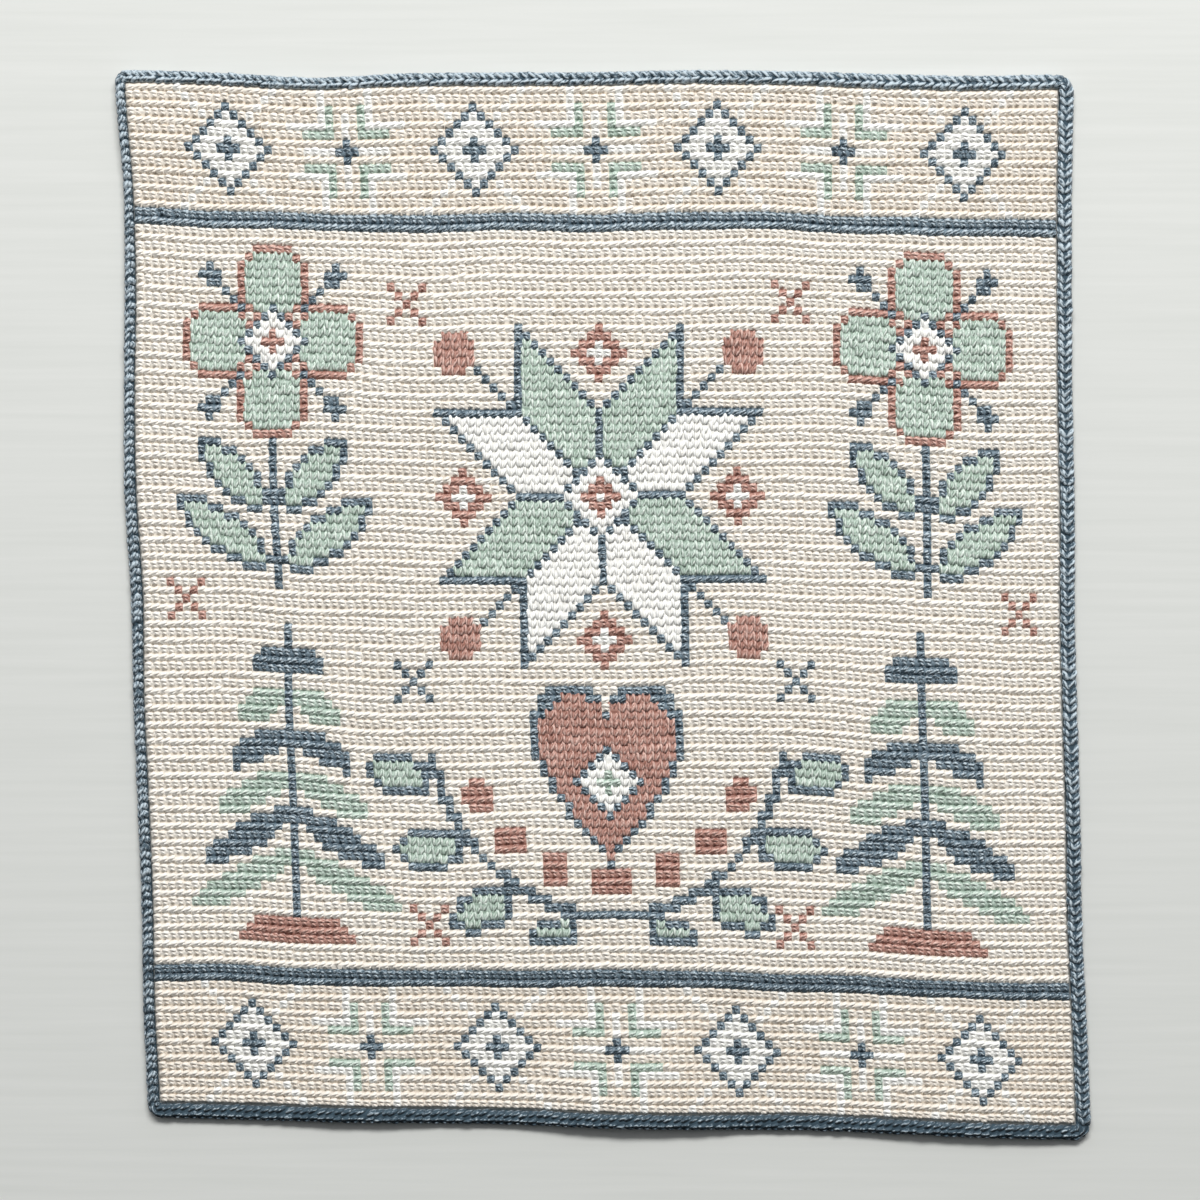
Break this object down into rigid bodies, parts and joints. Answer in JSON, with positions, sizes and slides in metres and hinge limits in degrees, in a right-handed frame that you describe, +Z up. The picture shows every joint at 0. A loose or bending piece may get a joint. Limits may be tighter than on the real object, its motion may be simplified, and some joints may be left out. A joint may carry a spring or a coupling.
{
  "type": "crocheted wall hanging",
  "caption": "Flat crocheted cotton wall hanging: a ribbed one-piece panel with a band above and below, and a thick crocheted edging all round.",
  "frame": {"origin": "on the wall, at the middle of the top edge of the edging", "axes": "+Z up, the front faces -Y, the back lies on the wall plane y = 0, +X to the right as seen from the front"},
  "size_m": [0.4876, 0.0079, 0.5342],
  "materials": {
    "cream_yarn": "matt combed cotton yarn, crocheted",
    "slate_yarn": "matt combed cotton yarn, crocheted",
    "beige_yarn": "matt combed cotton yarn, crocheted",
    "white_yarn": "matt combed cotton yarn, crocheted",
    "sage_yarn": "matt combed cotton yarn, crocheted",
    "terracotta_yarn": "matt combed cotton yarn, crocheted"
  },
  "bodies": {
    "root": {"panel": "cream_yarn", "edging": "slate_yarn"}
  },
  "joints": []
}
